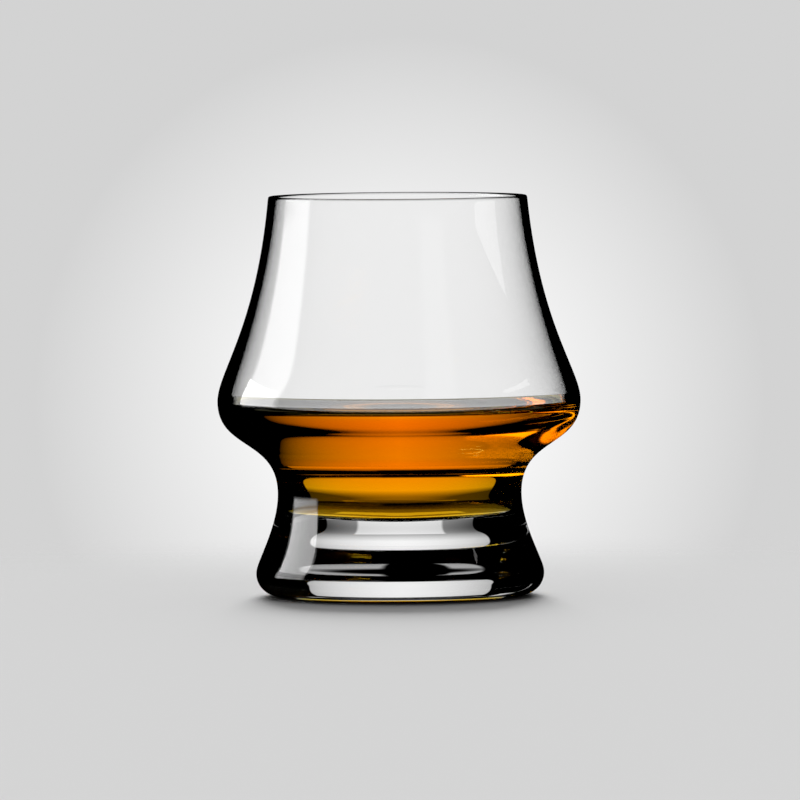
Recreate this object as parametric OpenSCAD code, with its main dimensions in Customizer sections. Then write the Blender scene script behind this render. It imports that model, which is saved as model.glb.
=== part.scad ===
// Whisky nosing glass: a thick-walled bowl with a wide belly and a narrow mouth,
// fused to a heavy solid foot, with a pour of whisky in it.
// Millimetres, +Z up, origin at the centre of the flat base.

/* [Rim] */
// Height from the table to the top of the lip
height = 96.6; // [90:0.1:110]
// Outer diameter of the rim
rim_d = 62.8; // [54:0.2:70]
// Thickness of the wall at the lip
rim_wall = 1.9; // [1.2:0.1:3]
// Lean of the wall at the rim, inwards from upright, in degrees
rim_lean = 5.6; // [0:0.1:12]
// Length over which the outside of the wall eases into the rim
rim_run = 31.4; // [20:0.2:38]
// Length over which the inside of the wall eases into the rim
mouth_run = 24; // [18:0.2:32]

/* [Belly] */
// Outer diameter at the widest point
belly_d = 87.9; // [82:0.1:94]
// Height of the widest point above the table
belly_z = 47; // [44:0.1:52]
// Length over which the outside turns in above the belly
belly_rise = 7.1; // [4:0.1:12]
// Length over which the outside turns in below the belly
belly_drop = 11.7; // [6:0.1:15]

/* [Waist] */
// Outer diameter at the waist
waist_d = 59; // [54:0.1:64]
// Height of the waist above the table
waist_z = 24.6; // [23:0.1:28]
// Length over which the outside opens out above the waist
waist_rise = 13.5; // [8:0.1:16]
// Length over which the outside opens out below the waist
waist_drop = 7.3; // [4:0.1:9]

/* [Cavity] */
// Gap between the belly's outer radius and the cavity's widest radius
belly_wall = 3.3; // [2:0.1:5]
// Height of the cavity's widest point above the belly's
cavity_lift = 1.5; // [0:0.1:4]
// Length over which the inside turns in above its widest point
inner_rise = 1.5; // [0.5:0.1:6]
// Length over which the inside turns in below its widest point
inner_drop = 9; // [5:0.1:11]
// Gap between the waist's outer radius and the radius of the narrow lower cup
neck_wall = 9.1; // [7:0.1:12]
// Gap between the lower cup's radius and the shoulder's, where the cavity widens
shoulder_step = 11.4; // [8:0.1:13]
// Height of the shoulder above the waist
shoulder_lift = 12.3; // [11:0.1:15]
// Lean of the wall at the shoulder, inwards from upright, in degrees
shoulder_lean = 57.9; // [45:0.1:65]
// Length over which the wall keeps that lean above the shoulder
shoulder_up = 6; // [2:0.1:8]
// Length over which the wall keeps that lean below the shoulder
shoulder_down = 1.3; // [0.5:0.1:5]
// Height above the table where the lower cup is upright
neck_z = 19.1; // [18.5:0.1:23]
// Length over which the cavity opens out above the lower cup
neck_rise = 3.7; // [1:0.1:8]
// Length over which the lower cup turns in to its floor
neck_drop = 1.1; // [0.5:0.1:2]
// Height of the cavity's floor above the table
floor_z = 16.2; // [15:0.1:17]
// Length over which the floor stays level from its centre
floor_run = 5; // [2:0.1:15]

/* [Foot] */
// Outer diameter of the foot
foot_d = 69.7; // [64:0.1:76]
// Radius of the rounded edge between the foot and the base
toe_radius = 5.2; // [3:0.1:6]
// Lean of the foot's side where it leaves the rounded edge, in degrees
flank_lean = 14; // [8:0.5:20]
// Length over which the foot's side keeps that lean
flank_run = 3.2; // [2:0.1:5]
// Height of the fused joint between the bowl and the foot
joint_z = 12.6; // [11:0.1:14]

/* [Whisky] */
// Height of the whisky's surface above the table
fill_z = 45.2; // [36:0.1:56]

/* [Hidden] */
$fn = 96;

// Straight pieces in each span of a curve, and in each rounded edge
span_steps = 14;
edge_steps = 8;

UP = [0, 1];
OUT = [1, 0];
rim_way = [-sin(rim_lean), cos(rim_lean)];
rim_across = [cos(rim_lean), sin(rim_lean)];
flank_way = [-sin(flank_lean), cos(flank_lean)];
shoulder_way = [-sin(shoulder_lean), -cos(shoulder_lean)];

lip_r = rim_wall / 2;
lip_centre = [rim_d / 2 - lip_r, height - lip_r];
rim_out = lip_centre + lip_r * rim_across;
rim_in = lip_centre - lip_r * rim_across;
belly_out = [belly_d / 2, belly_z];
belly_in = [belly_d / 2 - belly_wall, belly_z + cavity_lift];
waist_out = [waist_d / 2, waist_z];
neck_in = [waist_d / 2 - neck_wall, neck_z];
shoulder_in = [neck_in.x + shoulder_step, waist_z + shoulder_lift];
floor_in = [0, floor_z];
toe_centre = [foot_d / 2 - toe_radius, toe_radius];
toe_top = toe_centre + toe_radius * [cos(flank_lean), sin(flank_lean)];

// Points of an arc about a centre, from one angle to another
function arc(centre, r, from, to) = [
    for (i = [0 : edge_steps])
        let (a = from + (to - from) * i / edge_steps)
        centre + r * [cos(a), sin(a)]
];

// Inner points of a smooth span that leaves a along a_way and reaches b along b_way
function span(a, a_way, a_run, b, b_way, b_run) =
    let (c = a + a_run * a_way, d = b - b_run * b_way)
    [
        for (i = [1 : span_steps - 1])
            let (t = i / span_steps, u = 1 - t)
            u * u * u * a + 3 * u * u * t * c + 3 * u * t * t * d + t * t * t * b
    ];

// Outside of the glass, from the edge of the base up to the rim
outside = concat(
    arc(toe_centre, toe_radius, -90, flank_lean),
    span(toe_top, flank_way, flank_run, waist_out, UP, waist_drop),
    [waist_out],
    span(waist_out, UP, waist_rise, belly_out, UP, belly_drop),
    [belly_out],
    span(belly_out, UP, belly_rise, rim_out, rim_way, rim_run)
);

// Rounded lip, from the outside of the rim over to the inside
lip = arc(lip_centre, lip_r, rim_lean, rim_lean + 180);

// Inside of the glass, from the rim down to the centre of the floor
inside = concat(
    span(rim_in, -rim_way, mouth_run, belly_in, -UP, inner_rise),
    [belly_in],
    span(belly_in, -UP, inner_drop, shoulder_in, shoulder_way, shoulder_up),
    [shoulder_in],
    span(shoulder_in, shoulder_way, shoulder_down, neck_in, -UP, neck_rise),
    [neck_in],
    span(neck_in, -UP, neck_drop, floor_in, -OUT, floor_run),
    [floor_in]
);

// The whole glass before it is parted at the fused joint
module glass_solid() {
    rotate_extrude()
        polygon(concat([[0, 0]], outside, lip, inside));
}

// The space inside the glass, up to the inside of the rim
module cavity() {
    rotate_extrude()
        polygon(concat([[0, rim_in.y], rim_in], inside));
}

// A slab across the whole glass between two heights
module slab(low, high) {
    translate([0, 0, low])
        cylinder(d = 2 * belly_d, h = high - low);
}

// Blown vessel with its lip, belly, waist and thick bottom
module bowl() {
    color("whitesmoke", 0.35)
        intersection() {
            glass_solid();
            slab(joint_z, 2 * height);
        }
}

// Solid foot with its rounded edge and flat base
module foot() {
    color("gainsboro", 0.5)
        intersection() {
            glass_solid();
            slab(-toe_radius, joint_z);
        }
}

// Pour of whisky, touching the wall of the cavity all round
module whisky() {
    color("darkorange", 0.8)
        intersection() {
            cavity();
            slab(0, fill_z);
        }
}

bowl();
foot();
whisky();
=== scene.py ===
"""Looks of a whisky nosing glass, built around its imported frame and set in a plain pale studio.

The bowl and the foot are two gathers of clear glass that are fused hot, so the joint between them
is made of faces that bend no light. The whisky is a body that only takes colour out of the light,
under a thin skin that is its open surface. Where whisky wets the bowl, the bowl's faces carry the
step between glass and whisky.
"""

import logging
import math
from dataclasses import dataclass, field
from enum import Enum
from typing import Optional, Sequence, Union

import bmesh
import bpy
from mathutils import Matrix, Vector, geometry


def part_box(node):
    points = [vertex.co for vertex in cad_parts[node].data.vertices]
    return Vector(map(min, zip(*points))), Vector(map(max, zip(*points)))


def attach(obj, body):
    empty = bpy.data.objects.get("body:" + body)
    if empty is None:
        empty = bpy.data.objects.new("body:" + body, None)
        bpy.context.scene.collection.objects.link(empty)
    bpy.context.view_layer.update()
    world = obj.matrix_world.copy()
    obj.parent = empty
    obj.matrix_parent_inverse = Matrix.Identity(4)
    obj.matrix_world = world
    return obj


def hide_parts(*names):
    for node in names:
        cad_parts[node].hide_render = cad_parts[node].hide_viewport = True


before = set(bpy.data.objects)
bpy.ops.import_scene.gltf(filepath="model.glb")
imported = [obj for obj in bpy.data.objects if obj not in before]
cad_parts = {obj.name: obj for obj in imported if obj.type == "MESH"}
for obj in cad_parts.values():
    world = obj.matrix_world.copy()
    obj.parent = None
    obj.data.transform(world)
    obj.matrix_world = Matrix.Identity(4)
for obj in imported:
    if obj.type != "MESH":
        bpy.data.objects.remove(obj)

LOG = logging.getLogger("nosing_glass")
CARD_GROUP = "lit_card"
MM = 0.001
AXIS = Vector((0.0, 0.0, 1.0))
WELD = 1e-7
DOUBLINGS = 4
SHARP_TURN = math.radians(25.0)
AIR_IOR = 1.0
GLASS_IOR = 1.52
WHISKY_IOR = 1.362
WHITE = (1.0, 1.0, 1.0, 1.0)
TURNS = 256
JOINT_GAP = 0.01
CONTACT_RISE = 1.8
WAVE_DETAIL = 1.0
RING_DETAIL = 2.0
NO_MIRROR = 0.5
ONE_MIRROR = 1.5
THREE_MIRRORS = 3.5
NO_SPREAD = 0.5

Outline = list[Vector]
Signal = Union[float, bpy.types.NodeSocket]


class Body(Enum):
    """Bodies of the frame that pieces ride on."""

    ROOT = "root"


class Node(Enum):
    """Solids of the frame that the pieces stand for."""

    BOWL = "bowl"
    FOOT = "foot"
    WHISKY = "whisky"


class Slot(Enum):
    """Material slots of the record."""

    BOWL = "clear_glass"
    FOOT = "foot_glass"
    WHISKY = "whisky"


class Step(Enum):
    """Sums that a Math node works out."""

    ADD = "ADD"
    TAKE = "SUBTRACT"
    TIMES = "MULTIPLY"
    SHARE = "DIVIDE"
    POWER = "POWER"
    ROOT = "SQRT"
    SIZE = "ABSOLUTE"
    MOST = "MAXIMUM"
    BELOW = "LESS_THAN"
    ABOVE = "GREATER_THAN"
    TURN = "ARCTAN2"
    RISE = "ARCSINE"


class Ease(Enum):
    """Ways in which a ramp goes from its first value to its last."""

    EVEN = "LINEAR"
    SOFT = "SMOOTHSTEP"


class Wires:
    """Places the nodes of one node tree and joins them."""

    def __init__(self, tree: bpy.types.NodeTree) -> None:
        """Keeps the tree that the nodes go into."""
        self.tree = tree

    def node(self, kind: str, **settings: object) -> bpy.types.Node:
        """Adds a node.

        Args:
            kind: Blender's name for the type of node.
            settings: values for the node's own properties.

        Returns:
            The new node.
        """
        made = self.tree.nodes.new(kind)
        for name, value in settings.items():
            setattr(made, name, value)
        return made

    def feed(self, socket: bpy.types.NodeSocket, value: object) -> None:
        """Links a socket to an output, or sets its own value."""
        if isinstance(value, bpy.types.NodeSocket):
            self.tree.links.new(value, socket)
        else:
            socket.default_value = value

    def sum(self, step: Step, first: Signal, second: Signal = 0.0) -> bpy.types.NodeSocket:
        """Works out one sum.

        Args:
            step: the sum.
            first: the first value.
            second: the second value, where the sum has one.

        Returns:
            The output that carries the result.
        """
        made = self.node("ShaderNodeMath", operation=step.value)
        self.feed(made.inputs[0], first)
        self.feed(made.inputs[1], second)
        return made.outputs[0]

    def product(self, *values: Signal) -> bpy.types.NodeSocket:
        """Multiplies all the values.

        Args:
            values: two values or more.

        Returns:
            The output that carries the product.
        """
        result = values[0]
        for value in values[1:]:
            result = self.sum(Step.TIMES, result, value)
        return result

    def total(self, values: Sequence[Signal]) -> bpy.types.NodeSocket:
        """Adds all the values.

        Args:
            values: two values or more.

        Returns:
            The output that carries their sum.
        """
        result = values[0]
        for value in values[1:]:
            result = self.sum(Step.ADD, result, value)
        return result

    def ramp(
        self,
        value: Signal,
        start: Signal,
        end: Signal,
        low: Signal = 0.0,
        high: Signal = 1.0,
        ease: Ease = Ease.SOFT,
    ) -> bpy.types.NodeSocket:
        """Goes from low to high while the value goes from start to end, and stays there.

        Args:
            value: what is measured.
            start: where the ramp starts.
            end: where it ends, which may be less than start.
            low: the result at start.
            high: the result at end.
            ease: how it goes between them.

        Returns:
            The output that carries the result.
        """
        made = self.node("ShaderNodeMapRange", interpolation_type=ease.value, clamp=True)
        for socket, part in zip(made.inputs, (value, start, end, low, high)):
            self.feed(socket, part)
        return made.outputs[0]


@dataclass(frozen=True)
class Port:
    """A named socket of a node group."""

    name: str
    kind: str = "NodeSocketFloat"


def new_group(name: str, takes: Sequence[Port], gives: Sequence[Port]) -> bpy.types.NodeTree:
    """Starts a shader node group with named sockets.

    Args:
        name: the group's name.
        takes: its inputs.
        gives: its outputs.

    Returns:
        The group, with its input and output nodes placed.
    """
    group = bpy.data.node_groups.new(name, "ShaderNodeTree")
    for port in takes:
        group.interface.new_socket(port.name, in_out="INPUT", socket_type=port.kind)
    for port in gives:
        group.interface.new_socket(port.name, in_out="OUTPUT", socket_type=port.kind)
    group.nodes.new("NodeGroupInput")
    group.nodes.new("NodeGroupOutput")
    return group


def waves_group() -> bpy.types.NodeTree:
    """Makes the group for the faint unevenness of hand-worked glass.

    Returns:
        A group that gives a height in metres.
    """
    takes = [
        Port("Place", "NodeSocketVector"),
        Port("Wave Scale"),
        Port("Wave Height"),
        Port("Ring Scale"),
        Port("Ring Height"),
    ]
    group = new_group("hand_worked_waves", takes, [Port("Height")])
    wires = Wires(group)
    given = group.nodes["Group Input"].outputs
    result = group.nodes["Group Output"].inputs

    waves = wires.node("ShaderNodeTexNoise")
    wires.feed(waves.inputs["Vector"], given["Place"])
    wires.feed(waves.inputs["Scale"], given["Wave Scale"])
    waves.inputs["Detail"].default_value = WAVE_DETAIL
    reach = wires.node("ShaderNodeVectorMath", operation="LENGTH")
    wires.feed(reach.inputs[0], given["Place"])
    rings = wires.node("ShaderNodeTexNoise", noise_dimensions="1D")
    wires.feed(rings.inputs["W"], reach.outputs["Value"])
    wires.feed(rings.inputs["Scale"], given["Ring Scale"])
    rings.inputs["Detail"].default_value = RING_DETAIL
    wave_lift = wires.product(waves.outputs[0], given["Wave Height"])
    ring_lift = wires.product(rings.outputs[0], given["Ring Height"])
    wires.feed(result["Height"], wires.sum(Step.ADD, wave_lift, ring_lift))
    return group


@dataclass(frozen=True)
class Waves:
    """How uneven a glass surface is. Scales are per metre, and heights in metres."""

    wave_scale: float = 45.0
    wave_height: float = 8e-6
    ring_scale: float = 420.0
    ring_height: float = 0.0


@dataclass(frozen=True)
class ClearFinish:
    """Clear glass or another clear surface, with the step in refraction that it makes."""

    name: str
    step: float
    waves: Optional[Waves] = None

    def make(self, group: bpy.types.NodeTree) -> bpy.types.Material:
        """Makes the material.

        Args:
            group: the node group for unevenness.

        Returns:
            The finished material.
        """
        material = bpy.data.materials.new(self.name)
        material.use_nodes = True
        wires = Wires(material.node_tree)
        shader = material.node_tree.nodes["Principled BSDF"]
        shader.inputs["Base Color"].default_value = WHITE
        shader.inputs["Roughness"].default_value = 0.0
        shader.inputs["IOR"].default_value = self.step
        shader.inputs["Transmission Weight"].default_value = 1.0
        if self.waves is not None:
            self.roll(wires, shader, group)
        return material

    def roll(self, wires: Wires, shader: bpy.types.Node, group: bpy.types.NodeTree) -> None:
        """Adds the unevenness to the surface.

        Args:
            wires: the material's nodes.
            shader: the surface's shader.
            group: the node group for unevenness.
        """
        place = wires.node("ShaderNodeTexCoord")
        detail = wires.node("ShaderNodeGroup", node_tree=group)
        wires.feed(detail.inputs["Place"], place.outputs["Object"])
        wires.feed(detail.inputs["Wave Scale"], self.waves.wave_scale)
        wires.feed(detail.inputs["Wave Height"], self.waves.wave_height)
        wires.feed(detail.inputs["Ring Scale"], self.waves.ring_scale)
        wires.feed(detail.inputs["Ring Height"], self.waves.ring_height)
        bump = wires.node("ShaderNodeBump")
        bump.inputs["Strength"].default_value = 1.0
        bump.inputs["Distance"].default_value = 1.0
        wires.feed(bump.inputs["Height"], detail.outputs["Height"])
        wires.feed(shader.inputs["Normal"], bump.outputs[0])


@dataclass(frozen=True)
class WhiskyFinish:
    """The body of the whisky, which only takes colour out of the light that crosses it.

    The losses are per metre, for red, green and blue.
    """

    name: str
    losses: tuple[float, float, float]

    def make(self) -> bpy.types.Material:
        """Makes the material.

        Returns:
            The finished material.
        """
        material = bpy.data.materials.new(self.name)
        material.use_nodes = True
        wires = Wires(material.node_tree)
        shader = material.node_tree.nodes["Principled BSDF"]
        shader.inputs["Base Color"].default_value = WHITE
        shader.inputs["Roughness"].default_value = 0.0
        shader.inputs["IOR"].default_value = AIR_IOR
        shader.inputs["Transmission Weight"].default_value = 1.0
        most = max(self.losses)
        tint = wires.node("ShaderNodeVolumeAbsorption")
        tint.inputs["Color"].default_value = (*(1.0 - loss / most for loss in self.losses), 1.0)
        tint.inputs["Density"].default_value = most
        output = material.node_tree.nodes["Material Output"]
        wires.feed(output.inputs["Volume"], tint.outputs[0])
        return material


@dataclass(frozen=True)
class Knot:
    """A point of an outline, with the way the outline runs there and how far it keeps to it.

    Lengths are in millimetres. The heading is in degrees, from straight out and turning upwards.
    """

    radius: float
    height: float
    heading: float
    before: float = 0.0
    after: float = 0.0
    steps: int = 32

    def place(self) -> Vector:
        """Gives the knot's place in metres."""
        return Vector((self.radius, 0.0, self.height)) * MM

    def way(self) -> Vector:
        """Gives the direction of the outline at the knot."""
        turn = math.radians(self.heading)
        return Vector((math.cos(turn), 0.0, math.sin(turn)))


def draw(knots: Sequence[Knot]) -> Outline:
    """Runs a smooth outline through the knots.

    Args:
        knots: the points to go through, in order.

    Returns:
        The points of the outline, in metres.
    """
    points = [knots[0].place()]
    for start, end in zip(knots, knots[1:]):
        leave = start.place() + start.way() * start.after * MM
        reach = end.place() - end.way() * end.before * MM
        span = geometry.interpolate_bezier(start.place(), leave, reach, end.place(), start.steps + 1)
        points.extend(span[1:])
    return points


def part_at(outline: Outline, height: float) -> tuple[Outline, Outline]:
    """Parts an outline where it first crosses a height.

    Args:
        outline: points in order, which cross the height once.
        height: the height in metres.

    Returns:
        The points up to the height and the points from it on, both with the point at that height.
    """
    for index, (start, end) in enumerate(zip(outline, outline[1:])):
        if (start.z - height) * (end.z - height) <= 0.0 and start.z != end.z:
            share = (height - start.z) / (end.z - start.z)
            mark = start.lerp(end, share)
            return outline[: index + 1] + [mark], [mark] + outline[index + 1 :]
    raise ValueError("the outline doesn't cross that height")


def arc_run(radius: float, degrees: float) -> float:
    """Gives how far an outline keeps its way at the ends of a round arc.

    Args:
        radius: the arc's radius.
        degrees: the angle it turns through.

    Returns:
        The length, in the same units as the radius.
    """
    return 4.0 / 3.0 * math.tan(math.radians(degrees) / 4.0) * radius


class Lathe:
    """Turns outlines about the upright axis and welds them into one closed piece."""

    def __init__(self, turns: int) -> None:
        """Starts an empty mesh with the given number of steps to a turn."""
        self.mesh = bmesh.new()
        self.turns = turns

    def turn(self, outline: Outline, finish: int) -> None:
        """Turns one outline.

        Args:
            outline: the points to turn, in metres.
            finish: the place of its material in the piece's list.
        """
        points = [self.mesh.verts.new(point) for point in outline]
        lines = [self.mesh.edges.new(pair) for pair in zip(points, points[1:])]
        done = len(self.mesh.faces)
        angle = 2.0 * math.pi / 2**DOUBLINGS
        bmesh.ops.spin(
            self.mesh,
            geom=points + lines,
            axis=AXIS,
            cent=(0.0, 0.0, 0.0),
            angle=angle,
            steps=self.turns // 2**DOUBLINGS,
        )
        self.mesh.faces.ensure_lookup_table()
        wedge = list(self.mesh.faces[done:])
        for face in wedge:
            face.material_index = finish
        for _ in range(DOUBLINGS):
            copied = bmesh.ops.duplicate(self.mesh, geom=wedge)["geom"]
            moved = [part for part in copied if isinstance(part, bmesh.types.BMVert)]
            bmesh.ops.rotate(
                self.mesh,
                verts=moved,
                cent=(0.0, 0.0, 0.0),
                matrix=Matrix.Rotation(angle, 3, AXIS),
            )
            wedge += [part for part in copied if isinstance(part, bmesh.types.BMFace)]
            angle *= 2.0

    def close(
        self, name: str, finishes: Sequence[bpy.types.Material], inset: float = 0.0
    ) -> bpy.types.Object:
        """Welds the turned bands and makes the piece.

        Args:
            name: the piece's name.
            finishes: its materials, in the order that turn() counts them.
            inset: how far every point moves in from its neighbours' faces, in metres.

        Returns:
            The piece's object, at the origin.
        """
        mesh = self.mesh
        bmesh.ops.remove_doubles(mesh, verts=mesh.verts, dist=WELD)
        bmesh.ops.dissolve_degenerate(mesh, edges=mesh.edges, dist=WELD)
        bmesh.ops.recalc_face_normals(mesh, faces=mesh.faces)
        mesh.normal_update()
        if inset > 0.0:
            shifts = [(vert, vert.normal * inset) for vert in mesh.verts]
            for vert, shift in shifts:
                vert.co -= shift
            mesh.normal_update()
        for face in mesh.faces:
            face.smooth = True
        for edge in mesh.edges:
            edge.smooth = edge.calc_face_angle(0.0) < SHARP_TURN
        data = bpy.data.meshes.new(name)
        mesh.to_mesh(data)
        mesh.free()
        for finish in finishes:
            data.materials.append(finish)
        piece = bpy.data.objects.new(name, data)
        bpy.context.scene.collection.objects.link(piece)
        return piece


def corner(node: Node) -> tuple[Vector, Vector]:
    """Gives the lowest and highest corners of a solid of the frame, in millimetres."""
    low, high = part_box(node.value)
    return Vector(low) / MM, Vector(high) / MM


@dataclass(frozen=True)
class GlassForm:
    """Sizes of the whole glass, in millimetres and degrees."""

    height: float
    belly_d: float
    foot_d: float
    joint_z: float
    floor_z: float
    fill_z: float
    rim_d: float = 62.8
    rim_wall: float = 1.9
    rim_lean: float = 5.6
    lip_hold: float = 0.85
    rim_run: float = 31.4
    mouth_run: float = 24.0
    belly_z: float = 47.0
    belly_wall: float = 3.3
    belly_rise: float = 7.1
    belly_drop: float = 11.7
    cavity_z: float = 48.5
    inner_rise: float = 1.5
    inner_drop: float = 9.0
    shoulder_d: float = 63.6
    shoulder_z: float = 36.9
    shoulder_lean: float = 57.9
    shoulder_up: float = 6.0
    shoulder_down: float = 1.3
    waist_d: float = 59.0
    waist_z: float = 24.6
    waist_rise: float = 13.5
    waist_drop: float = 7.3
    neck_d: float = 40.8
    neck_z: float = 19.1
    neck_rise: float = 3.7
    neck_drop: float = 1.1
    floor_run: float = 5.0
    toe_radius: float = 5.2
    flank_lean: float = 14.0
    flank_run: float = 3.2

    @classmethod
    def from_frame(cls) -> "GlassForm":
        """Takes the main sizes from the frame's solids.

        Returns:
            The form, with the remaining sizes at their set values.
        """
        bowl_high = corner(Node.BOWL)[1]
        foot_high = corner(Node.FOOT)[1]
        whisky_low, whisky_high = corner(Node.WHISKY)
        return cls(
            height=bowl_high.z,
            belly_d=2.0 * bowl_high.x,
            foot_d=2.0 * foot_high.x,
            joint_z=foot_high.z,
            floor_z=whisky_low.z,
            fill_z=whisky_high.z,
        )

    def lip_knots(self) -> tuple[Knot, Knot, Knot]:
        """Gives the knots of the rounded lip.

        Returns:
            The outside of the rim, the top of the lip and the inside of the rim.
        """
        lip = self.rim_wall / 2.0
        turn = math.radians(self.rim_lean)
        middle = (self.rim_d / 2.0 - lip, self.height - lip)
        run = lip * self.lip_hold
        across = (lip * math.cos(turn), lip * math.sin(turn))
        up = 90.0 + self.rim_lean
        outer = Knot(middle[0] + across[0], middle[1] + across[1], up, self.rim_run, run, steps=8)
        top = Knot(middle[0] - across[1], middle[1] + across[0], up + 90.0, run, run, steps=8)
        inner = Knot(middle[0] - across[0], middle[1] - across[1], up + 180.0, run, self.mouth_run)
        return outer, top, inner

    def outside(self) -> Outline:
        """Draws the outside, from the middle of the base up over the lip.

        Returns:
            The outline, which ends on the inside of the rim.
        """
        toe_x = self.foot_d / 2.0 - self.toe_radius
        waist_r = self.waist_d / 2.0
        belly_r = self.belly_d / 2.0
        turn = math.radians(self.flank_lean)
        toe_run = arc_run(self.toe_radius, 90.0 + self.flank_lean)
        knots = [
            Knot(0.0, 0.0, 0.0, after=toe_x / 3.0, steps=6),
            Knot(toe_x, 0.0, 0.0, toe_x / 3.0, toe_run, steps=20),
            Knot(
                toe_x + self.toe_radius * math.cos(turn),
                self.toe_radius * (1.0 + math.sin(turn)),
                90.0 + self.flank_lean,
                toe_run,
                self.flank_run,
                steps=30,
            ),
            Knot(waist_r, self.waist_z, 90.0, self.waist_drop, self.waist_rise, steps=40),
            Knot(belly_r, self.belly_z, 90.0, self.belly_drop, self.belly_rise, steps=40),
            *self.lip_knots(),
        ]
        return draw(knots)

    def inside(self) -> Outline:
        """Draws the inside, from the rim down to the middle of the cavity's floor.

        Returns:
            The outline, which starts where outside() ends.
        """
        belly_r = self.belly_d / 2.0 - self.belly_wall
        neck_r = self.neck_d / 2.0
        knots = [
            self.lip_knots()[2],
            Knot(belly_r, self.cavity_z, -90.0, self.inner_rise, self.inner_drop, steps=28),
            Knot(
                self.shoulder_d / 2.0,
                self.shoulder_z,
                -90.0 - self.shoulder_lean,
                self.shoulder_up,
                self.shoulder_down,
                steps=28,
            ),
            Knot(neck_r, self.neck_z, -90.0, self.neck_rise, self.neck_drop, steps=28),
            Knot(0.0, self.floor_z, -180.0, self.floor_run),
        ]
        return draw(knots)


@dataclass
class Bowl:
    """The vessel, from the fused joint up to its lip and down the inside to its floor."""

    form: GlassForm
    clear: ClearFinish
    wetted: ClearFinish
    scored: ClearFinish
    matched: ClearFinish
    name: str = "bowl_glass"
    joint_gap: float = JOINT_GAP
    scored_z: float = 19.0
    contact_rise: float = CONTACT_RISE
    turns: int = TURNS

    def build(self, group: bpy.types.NodeTree) -> bpy.types.Object:
        """Turns the bowl.

        Args:
            group: the node group for unevenness.

        Returns:
            The bowl's piece.
        """
        joint = (self.form.joint_z + self.joint_gap / 2.0) * MM
        contact = (self.form.fill_z + self.contact_rise) * MM
        above = part_at(self.form.outside(), joint)[1]
        dry, wet = part_at(self.form.inside(), contact)
        lathe = Lathe(self.turns)
        lathe.turn(above + dry[1:], 0)
        side, bottom = part_at(wet, self.scored_z * MM)
        lathe.turn(side, 1)
        lathe.turn(bottom, 2)
        lathe.turn([Vector((0.0, 0.0, joint)), above[0]], 3)
        kinds = (self.clear, self.wetted, self.scored, self.matched)
        return lathe.close(self.name, [finish.make(group) for finish in kinds])

    def dress(self, piece: bpy.types.Object) -> None:
        """Ties the piece to the frame."""
        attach(piece, Body.ROOT.value)
        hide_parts(Node.BOWL.value)
        piece.visible_shadow = False


@dataclass
class Foot:
    """The solid foot, from its flat base up to the fused joint."""

    form: GlassForm
    clear: ClearFinish
    matched: ClearFinish
    name: str = "foot_glass"
    joint_gap: float = JOINT_GAP
    turns: int = TURNS

    def build(self, group: bpy.types.NodeTree) -> bpy.types.Object:
        """Turns the foot.

        Args:
            group: the node group for unevenness.

        Returns:
            The foot's piece.
        """
        joint = (self.form.joint_z - self.joint_gap / 2.0) * MM
        below = part_at(self.form.outside(), joint)[0]
        lathe = Lathe(self.turns)
        lathe.turn(below, 0)
        lathe.turn([below[-1], Vector((0.0, 0.0, joint))], 1)
        finishes = [finish.make(group) for finish in (self.clear, self.matched)]
        return lathe.close(self.name, finishes)

    def dress(self, piece: bpy.types.Object) -> None:
        """Ties the piece to the frame."""
        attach(piece, Body.ROOT.value)
        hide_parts(Node.FOOT.value)


@dataclass
class Pour:
    """The whisky: its coloured body, and the thin skin that is its open surface."""

    form: GlassForm
    body: WhiskyFinish
    skin: ClearFinish
    matched: ClearFinish
    creep: float = 4.5
    creep_hold: float = 0.75
    middle_hold: float = 0.25
    wall_heading: float = 62.0
    wall_hold: float = 0.6
    skin_depth: float = 0.12
    clearance: float = 0.02
    turns: int = TURNS
    contact_rise: float = CONTACT_RISE

    def surface(self, drop: float) -> Outline:
        """Draws the surface, level in the middle and drawn up at the wall.

        Args:
            drop: how far below the open surface, in millimetres.

        Returns:
            The outline from the middle to the wall, in metres.
        """
        contact = (self.form.fill_z + self.contact_rise) * MM
        wall = part_at(self.form.inside(), contact)[1][0]
        level = self.form.fill_z - drop
        edge_x = wall.x / MM
        middle = edge_x * self.middle_hold
        knots = [
            Knot(0.0, level, 0.0, after=middle, steps=10),
            Knot(edge_x - self.creep, level, 0.0, middle, self.creep * self.creep_hold, steps=24),
            Knot(edge_x, wall.z / MM, self.wall_heading, self.contact_rise * self.wall_hold),
        ]
        return draw(knots)

    def build_body(self) -> bpy.types.Object:
        """Turns the body of the whisky.

        Returns:
            The body's piece, a hair smaller than the cavity.
        """
        under = self.surface(self.skin_depth)
        contact = (self.form.fill_z + self.contact_rise) * MM
        wet = part_at(self.form.inside(), contact)[1]
        lathe = Lathe(self.turns)
        lathe.turn(under + wet[1:], 0)
        return lathe.close("whisky_body", [self.body.make()], self.clearance * MM)

    def build_skin(self, group: bpy.types.NodeTree) -> bpy.types.Object:
        """Turns the skin on top of the whisky.

        Args:
            group: the node group for unevenness.

        Returns:
            The skin's piece.
        """
        lathe = Lathe(self.turns)
        lathe.turn(self.surface(0.0), 0)
        lathe.turn(self.surface(self.skin_depth), 1)
        finishes = [self.skin.make(group), self.matched.make(group)]
        return lathe.close("whisky_surface", finishes)

    def dress(self, body: bpy.types.Object, skin: bpy.types.Object) -> None:
        """Ties both pieces to the frame."""
        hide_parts(Node.WHISKY.value)
        for piece in (body, skin):
            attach(piece, Body.ROOT.value)
            piece.visible_shadow = False


@dataclass(frozen=True)
class Card:
    """A lit card of the studio, as the glass sees it.

    The turn is in degrees from straight behind the glass, to the right as the camera sees it. The
    rise is in degrees above the level.
    """

    turn_low: float
    turn_high: float
    rise_low: float
    rise_high: float
    level: float
    blur: float = 0.7


@dataclass(frozen=True)
class Span:
    """Where a change of light starts and ends, as a rise in degrees."""

    start: float
    end: float


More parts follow.
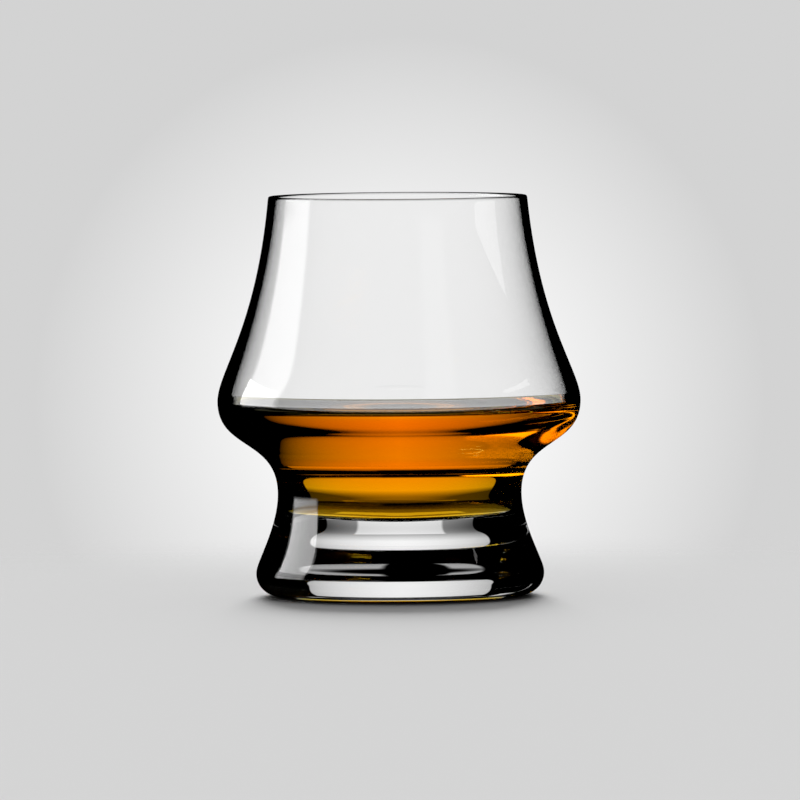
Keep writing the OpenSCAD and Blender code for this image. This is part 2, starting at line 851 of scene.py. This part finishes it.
@dataclass
class Studio:
    """Light around the glass, which depends on the direction and on the light's path.

    Behind the glass is a backdrop with a pale tent around it. Strips show as reflections on the
    outside of the glass, and glints and windows show inside it. Angles are in degrees, and a
    level of 1 is white. Crossings count the surfaces that light went through: one wall makes 2,
    the empty bowl 4, and the whisky 6 or more.
    """

    pale: float = 0.651
    glow_rise: float = -2.67
    glow_inner: float = 0.35
    glow_outer: float = 1.95
    ambient: float = 0.05
    backdrop_level: float = 1.0
    backdrop_half: float = 29.7
    backdrop_edge: float = 0.3
    backdrop_fall: float = 0.47
    backdrop_curve: float = 1.6
    whisky_fall: float = 0.95
    whisky_curve: float = 1.2
    bath_crossings: float = 8.5
    backdrop_top: Span = Span(21.0, 18.0)
    backdrop_sweep: Span = Span(-32.0, -8.0)
    whisky_top: Span = Span(34.0, 16.0)
    whisky_sweep: Span = Span(-20.5, -13.0)
    sweep_level: float = 0.1
    mirror_crossings: float = 3.5
    whisky_crossings: float = 5.5
    curl_crossings: float = 11.5
    plain_level: float = 0.93
    bowl_rise: float = 2.0
    mirror_rise: float = 0.0
    lip_level: float = 0.65
    lip_crossings: float = 2.0
    bowl_crossings: float = 4.0
    ground_turn: float = 75.0
    ground_rise: float = -14.0
    ground_blur: float = 1.0
    ground_level: float = 0.6
    tent: list[Card] = field(
        default_factory=lambda: [
            Card(-130.0, -66.0, -14.0, 22.0, 0.7),
            Card(95.0, 181.0, -14.0, 32.0, 0.65),
            Card(-181.0, -140.0, -14.0, 32.0, 0.65),
            Card(-80.0, -42.0, 22.0, 46.0, 0.65),
            Card(-15.0, 15.0, -32.0, -23.0, 0.5),
        ]
    )
    strips: list[Card] = field(
        default_factory=lambda: [
            Card(-95.0, -61.0, 5.0, 75.0, 3.6, 2.5),
            Card(-95.0, -61.0, -2.0, 5.0, 4.0, 2.5),
        ]
    )
    glints: list[Card] = field(
        default_factory=lambda: [
            Card(6.0, 42.0, 29.0, 50.0, 0.4, 1.5),
            Card(-31.0, -17.0, 29.0, 50.0, 0.4, 1.5),
            Card(138.0, 160.0, 12.0, 38.0, 0.6, 2.0),
        ]
    )
    windows: list[Card] = field(
        default_factory=lambda: [
            Card(-95.0, -61.0, -12.0, 60.0, 3.0, 2.5),
        ]
    )

    def card_group(self) -> bpy.types.NodeTree:
        """Makes the group that lights one card, once for the whole file.

        Returns:
            A group that gives the card's light for a direction.
        """
        made = bpy.data.node_groups.get(CARD_GROUP)
        if made is not None:
            return made
        names = ("Turn", "Rise", "Turn Low", "Turn High", "Rise Low", "Rise High", "Blur", "Level")
        group = new_group(CARD_GROUP, [Port(name) for name in names], [Port("Light")])
        wires = Wires(group)
        given = group.nodes["Group Input"].outputs
        masks = []
        for way in ("Turn", "Rise"):
            for edge, sign in (("Low", 1.0), ("High", -1.0)):
                gap = wires.sum(Step.TAKE, given[way], given[f"{way} {edge}"])
                inward = wires.product(gap, sign)
                less = wires.product(given["Blur"], -1.0)
                masks.append(wires.ramp(inward, less, given["Blur"]))
        light = wires.product(*masks, given["Level"])
        wires.feed(group.nodes["Group Output"].inputs["Light"], light)
        return group

    def hang(
        self, wires: Wires, cards: Sequence[Card], turn: Signal, rise: Signal
    ) -> bpy.types.NodeSocket:
        """Hangs a set of cards and takes the brightest at each direction.

        Args:
            wires: the world's nodes.
            cards: the cards.
            turn: the direction's turn.
            rise: the direction's rise.

        Returns:
            The output that carries their light.
        """
        group = self.card_group()
        light: Signal = 0.0
        for card in cards:
            placed = wires.node("ShaderNodeGroup", node_tree=group)
            values = (
                turn,
                rise,
                card.turn_low,
                card.turn_high,
                card.rise_low,
                card.rise_high,
                card.blur,
                card.level,
            )
            for socket, value in zip(placed.inputs, values):
                wires.feed(socket, value)
            light = wires.sum(Step.MOST, light, placed.outputs[0])
        return light

    def backdrop(
        self, wires: Wires, turn: Signal, rise: Signal, depth: Signal
    ) -> bpy.types.NodeSocket:
        """Lights the backdrop, brightest behind the glass and darker down its sweep.

        Args:
            wires: the world's nodes.
            turn: the direction's turn.
            rise: the direction's rise.
            depth: how many surfaces the light crossed.

        Returns:
            The output that carries its light.
        """
        aside = wires.sum(Step.SIZE, turn)
        part = wires.sum(Step.SHARE, aside, self.backdrop_half)
        bathed = wires.sum(Step.ABOVE, depth, self.bath_crossings)
        curve = wires.ramp(
            bathed, 0.0, 1.0, self.backdrop_curve, self.whisky_curve, Ease.EVEN
        )
        fall = wires.ramp(bathed, 0.0, 1.0, self.backdrop_fall, self.whisky_fall, Ease.EVEN)
        share = wires.sum(Step.POWER, part, curve)
        across = wires.sum(Step.TAKE, 1.0, wires.product(share, fall))
        edge = self.backdrop_edge
        side = wires.ramp(aside, self.backdrop_half + edge, self.backdrop_half - edge)
        wet = wires.sum(Step.ABOVE, depth, self.whisky_crossings)
        dry = wires.sum(Step.TAKE, 1.0, wet)
        lowest = wires.ramp(
            depth,
            self.lip_crossings,
            self.bowl_crossings,
            self.lip_level,
            self.sweep_level,
            Ease.EVEN,
        )
        height: Signal = 0.0
        for chosen, top, sweep in (
            (dry, self.backdrop_top, self.backdrop_sweep),
            (wet, self.whisky_top, self.whisky_sweep),
        ):
            upper = wires.ramp(rise, top.start, top.end)
            lower = wires.ramp(rise, sweep.start, sweep.end, lowest, 1.0, Ease.EVEN)
            height = wires.sum(Step.ADD, height, wires.product(chosen, upper, lower))
        return wires.product(across, side, height, self.backdrop_level)

    def ground(self, wires: Wires, turn: Signal, rise: Signal) -> bpy.types.NodeSocket:
        """Lights the pale ground on both sides of the backdrop.

        Args:
            wires: the world's nodes.
            turn: the direction's turn.
            rise: the direction's rise.

        Returns:
            The output that carries its light.
        """
        edge = self.backdrop_edge
        aside = wires.sum(Step.SIZE, turn)
        outside = wires.ramp(aside, self.ground_turn - edge, self.ground_turn + edge)
        blur = self.ground_blur
        low = wires.ramp(rise, self.ground_rise + blur, self.ground_rise - blur)
        return wires.product(low, outside, self.ground_level)

    def glow(self, wires: Wires, turn: Signal, rise: Signal) -> bpy.types.NodeSocket:
        """Lights what the camera sees of the backdrop, with a round glow behind the glass.

        Args:
            wires: the world's nodes.
            turn: the direction's turn.
            rise: the direction's rise.

        Returns:
            The output that carries its light.
        """
        lift = wires.sum(Step.TAKE, rise, self.glow_rise)
        square = wires.sum(Step.ADD, wires.product(turn, turn), wires.product(lift, lift))
        away = wires.sum(Step.ROOT, square)
        return wires.ramp(away, self.glow_outer, self.glow_inner, self.pale, 1.0, Ease.EVEN)

    def seen(
        self, wires: Wires, ray: bpy.types.NodeOutputs, rise: Signal
    ) -> bpy.types.NodeSocket:
        """Tells how much of the backdrop a path through the glass shows.

        Args:
            wires: the world's nodes.
            ray: what is known about the light's path.
            rise: the direction's rise.

        Returns:
            The output that carries a share from 0 to 1.
        """
        straight = wires.sum(Step.BELOW, ray["Glossy Depth"], NO_MIRROR)
        once = wires.sum(Step.BELOW, ray["Glossy Depth"], ONE_MIRROR)
        crossed = wires.sum(Step.ABOVE, ray["Transmission Depth"], self.mirror_crossings)
        wet = wires.sum(Step.ABOVE, ray["Transmission Depth"], self.whisky_crossings)
        upward = wires.product(crossed, wires.sum(Step.ABOVE, rise, self.mirror_rise))
        mirror = wires.product(once, wires.sum(Step.MOST, wet, upward))
        hollow = wires.product(crossed, wires.sum(Step.BELOW, rise, self.bowl_rise))
        level = wires.sum(Step.MOST, wires.sum(Step.MOST, hollow, wet), self.plain_level)
        return wires.product(wires.sum(Step.MOST, straight, mirror), level)

    def through(
        self, wires: Wires, ray: bpy.types.NodeOutputs, turn: Signal, rise: Signal
    ) -> bpy.types.NodeSocket:
        """Lights what is seen through the glass.

        Args:
            wires: the world's nodes.
            ray: what is known about the light's path.
            turn: the direction's turn.
            rise: the direction's rise.

        Returns:
            The output that carries its light.
        """
        depth = ray["Transmission Depth"]
        straight = wires.sum(Step.BELOW, ray["Glossy Depth"], NO_MIRROR)
        once = wires.sum(Step.BELOW, ray["Glossy Depth"], ONE_MIRROR)
        few = wires.sum(Step.BELOW, ray["Glossy Depth"], THREE_MIRRORS)
        crossed = wires.sum(Step.ABOVE, depth, self.mirror_crossings)
        curled = wires.sum(Step.ABOVE, depth, self.curl_crossings)
        backdrop = self.backdrop(wires, turn, rise, depth)
        ground = self.ground(wires, turn, rise)
        tent = wires.sum(Step.MOST, ground, self.hang(wires, self.tent, turn, rise))
        shares = (
            wires.product(backdrop, self.seen(wires, ray, rise)),
            wires.product(tent, straight, crossed),
            wires.product(self.hang(wires, self.glints, turn, rise), once),
            wires.product(self.hang(wires, self.windows, turn, rise), few, curled),
        )
        return wires.total(shares)

    def light(self) -> None:
        """Builds the world."""
        world = bpy.data.worlds.new("studio")
        world.use_nodes = True
        world.cycles.sampling_method = "NONE"
        bpy.context.scene.world = world
        wires = Wires(world.node_tree)
        place = wires.node("ShaderNodeTexCoord")
        parts = wires.node("ShaderNodeSeparateXYZ")
        wires.feed(parts.inputs[0], place.outputs["Generated"])
        degree = math.degrees(1.0)
        turn = wires.product(wires.sum(Step.TURN, parts.outputs[0], parts.outputs[1]), degree)
        rise = wires.product(wires.sum(Step.RISE, parts.outputs[2]), degree)
        ray = wires.node("ShaderNodeLightPath").outputs
        unspread = wires.sum(Step.BELOW, ray["Diffuse Depth"], NO_SPREAD)
        outside = wires.sum(Step.TAKE, 1.0, ray["Is Transmission Ray"])
        strips = self.hang(wires, self.strips, turn, rise)
        through = self.through(wires, ray, turn, rise)
        shares = (
            wires.product(ray["Is Camera Ray"], self.glow(wires, turn, rise)),
            wires.product(ray["Is Diffuse Ray"], self.ambient),
            wires.product(ray["Is Glossy Ray"], outside, unspread, strips),
            wires.product(ray["Is Transmission Ray"], unspread, through),
        )
        background = world.node_tree.nodes["Background"]
        background.inputs["Color"].default_value = WHITE
        wires.feed(background.inputs["Strength"], wires.total(shares))


@dataclass
class SideCard:
    """A small lit card beside the glass, which only shows as a reflection. Lengths are in metres."""

    name: str = "side_card"
    place: tuple[float, float, float] = (0.17, -0.04, 0.115)
    width: float = 0.07
    height: float = 0.01
    level: float = 1.5

    def build(self) -> bpy.types.Object:
        """Hangs the card upright, facing the glass.

        Returns:
            The card.
        """
        mesh = bmesh.new()
        turn = Matrix.Rotation(math.radians(90.0), 4, "Y")
        size = Matrix.Diagonal((1.0, self.width / 2.0, self.height / 2.0, 1.0))
        matrix = Matrix.Translation(self.place) @ size @ turn
        bmesh.ops.create_grid(mesh, x_segments=1, y_segments=1, size=1.0, matrix=matrix)
        data = bpy.data.meshes.new(self.name)
        mesh.to_mesh(data)
        mesh.free()
        data.materials.append(self.paint())
        card = bpy.data.objects.new(self.name, data)
        bpy.context.scene.collection.objects.link(card)
        card.visible_camera = False
        card.visible_diffuse = False
        card.visible_transmission = False
        card.visible_shadow = False
        return card

    def paint(self) -> bpy.types.Material:
        """Makes the card's even light.

        Returns:
            The finished material.
        """
        material = bpy.data.materials.new(self.name)
        material.use_nodes = True
        material.cycles.emission_sampling = "NONE"
        tree = material.node_tree
        tree.nodes.remove(tree.nodes["Principled BSDF"])
        wires = Wires(tree)
        light = wires.node("ShaderNodeEmission")
        light.inputs["Strength"].default_value = self.level
        wires.feed(tree.nodes["Material Output"].inputs["Surface"], light.outputs[0])
        return material


@dataclass
class BackLight:
    """A broad soft lamp behind and above the glass, which only lights the floor.

    Angles are in degrees.
    """

    name: str
    rise: float
    spread: float
    level: float

    def build(self) -> bpy.types.Object:
        """Hangs the lamp.

        Returns:
            The lamp.
        """
        data = bpy.data.lights.new(self.name, "SUN")
        data.angle = math.radians(self.spread)
        data.energy = self.level
        lamp = bpy.data.objects.new(self.name, data)
        lamp.rotation_euler = (math.radians(self.rise - 90.0), 0.0, 0.0)
        bpy.context.scene.collection.objects.link(lamp)
        lamp.visible_camera = False
        lamp.visible_glossy = False
        lamp.visible_transmission = False
        return lamp


@dataclass
class Floor:
    """The pale floor, which fades into the backdrop behind the glass. Lengths are in metres."""

    pale: float
    radius: float = 3.0
    sides: int = 128
    drop: float = 0.0002
    fade_start: float = 0.03
    fade_end: float = 0.25

    def build(self) -> bpy.types.Object:
        """Lays the floor.

        Returns:
            The floor.
        """
        mesh = bmesh.new()
        sink = Matrix.Translation((0.0, 0.0, -self.drop))
        bmesh.ops.create_circle(
            mesh, cap_ends=True, segments=self.sides, radius=self.radius, matrix=sink
        )
        data = bpy.data.meshes.new("floor")
        mesh.to_mesh(data)
        mesh.free()
        data.materials.append(self.paint())
        floor = bpy.data.objects.new("floor", data)
        bpy.context.scene.collection.objects.link(floor)
        floor.visible_transmission = False
        floor.visible_glossy = False
        return floor

    def paint(self) -> bpy.types.Material:
        """Makes the floor's matt paint.

        Returns:
            The finished material.
        """
        material = bpy.data.materials.new("floor_paint")
        material.use_nodes = True
        tree = material.node_tree
        tree.nodes.remove(tree.nodes["Principled BSDF"])
        wires = Wires(tree)
        matt = wires.node("ShaderNodeBsdfDiffuse")
        matt.inputs["Color"].default_value = (self.pale, self.pale, self.pale, 1.0)
        clear = wires.node("ShaderNodeBsdfTransparent")
        place = wires.node("ShaderNodeTexCoord")
        parts = wires.node("ShaderNodeSeparateXYZ")
        wires.feed(parts.inputs[0], place.outputs["Object"])
        mix = wires.node("ShaderNodeMixShader")
        wires.feed(mix.inputs[0], wires.ramp(parts.outputs[1], self.fade_start, self.fade_end))
        wires.feed(mix.inputs[1], matt.outputs[0])
        wires.feed(mix.inputs[2], clear.outputs[0])
        wires.feed(tree.nodes["Material Output"].inputs["Surface"], mix.outputs[0])
        return material


@dataclass
class Viewpoint:
    """The camera. Lengths are in metres, the lens in millimetres and the tilt in degrees."""

    place: tuple[float, float, float] = (0.00024, -2.6, 0.1681)
    target: tuple[float, float, float] = (0.00024, 0.0, 0.0471)
    lens: float = 484.0
    sensor: float = 36.0
    reach: float = 100.0
    tilt: float = -0.41

    def build(self) -> bpy.types.Object:
        """Sets the camera up.

        Returns:
            The camera, made the scene's own.
        """
        data = bpy.data.cameras.new("viewpoint")
        data.lens = self.lens
        data.sensor_width = self.sensor
        data.clip_end = self.reach
        camera = bpy.data.objects.new("viewpoint", data)
        bpy.context.scene.collection.objects.link(camera)
        place = Vector(self.place)
        look = (Vector(self.target) - place).to_track_quat("-Z", "Y").to_matrix().to_4x4()
        tilt = Matrix.Rotation(math.radians(self.tilt), 4, "Z")
        camera.matrix_world = Matrix.Translation(place) @ look @ tilt
        bpy.context.scene.camera = camera
        return camera


def set_light_paths() -> None:
    """Lets light cross enough glass, and sets the plain view of colours."""
    scene = bpy.context.scene
    scene.view_settings.view_transform = "Standard"
    scene.cycles.max_bounces = 32
    scene.cycles.transmission_bounces = 32
    scene.cycles.glossy_bounces = 16
    scene.cycles.transparent_max_bounces = 16
    scene.cycles.blur_glossy = 0.0
    scene.cycles.caustics_reflective = True
    scene.cycles.caustics_refractive = True


def report(piece: bpy.types.Object) -> None:
    """Writes a piece's name and number of faces to the log."""
    LOG.info("%s has %d faces", piece.name, len(piece.data.polygons))


def main() -> None:
    """Builds the glass, its whisky and the studio."""
    logging.basicConfig(level=logging.INFO, format="%(name)s: %(message)s")
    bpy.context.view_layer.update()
    set_light_paths()
    Viewpoint().build()
    studio = Studio()
    studio.light()
    SideCard().build()
    SideCard(
        "low_card", place=(-0.17, 0.011, 0.077), width=0.096, height=0.06, level=6.5
    ).build()
    BackLight("low_back_light", rise=13.0, spread=24.0, level=8.6).build()
    BackLight("high_back_light", rise=48.0, spread=60.0, level=1.48).build()
    Floor(pale=studio.pale).build()

    form = GlassForm.from_frame()
    group = waves_group()
    smooth = Waves()
    ringed = Waves(ring_height=2e-6)
    clear = ClearFinish("clear_glass", GLASS_IOR, smooth)
    wetted = ClearFinish("wetted_glass", GLASS_IOR / WHISKY_IOR, ringed)
    lined = Waves(ring_scale=1500.0, ring_height=1e-5)
    scored = ClearFinish("scored_glass", GLASS_IOR / WHISKY_IOR, lined)
    skin = ClearFinish("whisky_skin", WHISKY_IOR, Waves(wave_height=2e-6))
    matched = ClearFinish("fused_joint", AIR_IOR)
    amber = WhiskyFinish("amber_whisky", (0.3, 23.6, 189.0))

    bowl = Bowl(form, clear, wetted, scored, matched)
    bowl_piece = bowl.build(group)
    bowl.dress(bowl_piece)
    report(bowl_piece)

    foot = Foot(form, clear, matched)
    foot_piece = foot.build(group)
    foot.dress(foot_piece)
    report(foot_piece)

    pour = Pour(form, amber, skin, matched)
    body_piece = pour.build_body()
    skin_piece = pour.build_skin(group)
    pour.dress(body_piece, skin_piece)
    report(body_piece)
    report(skin_piece)


if __name__ == "__main__":
    main()
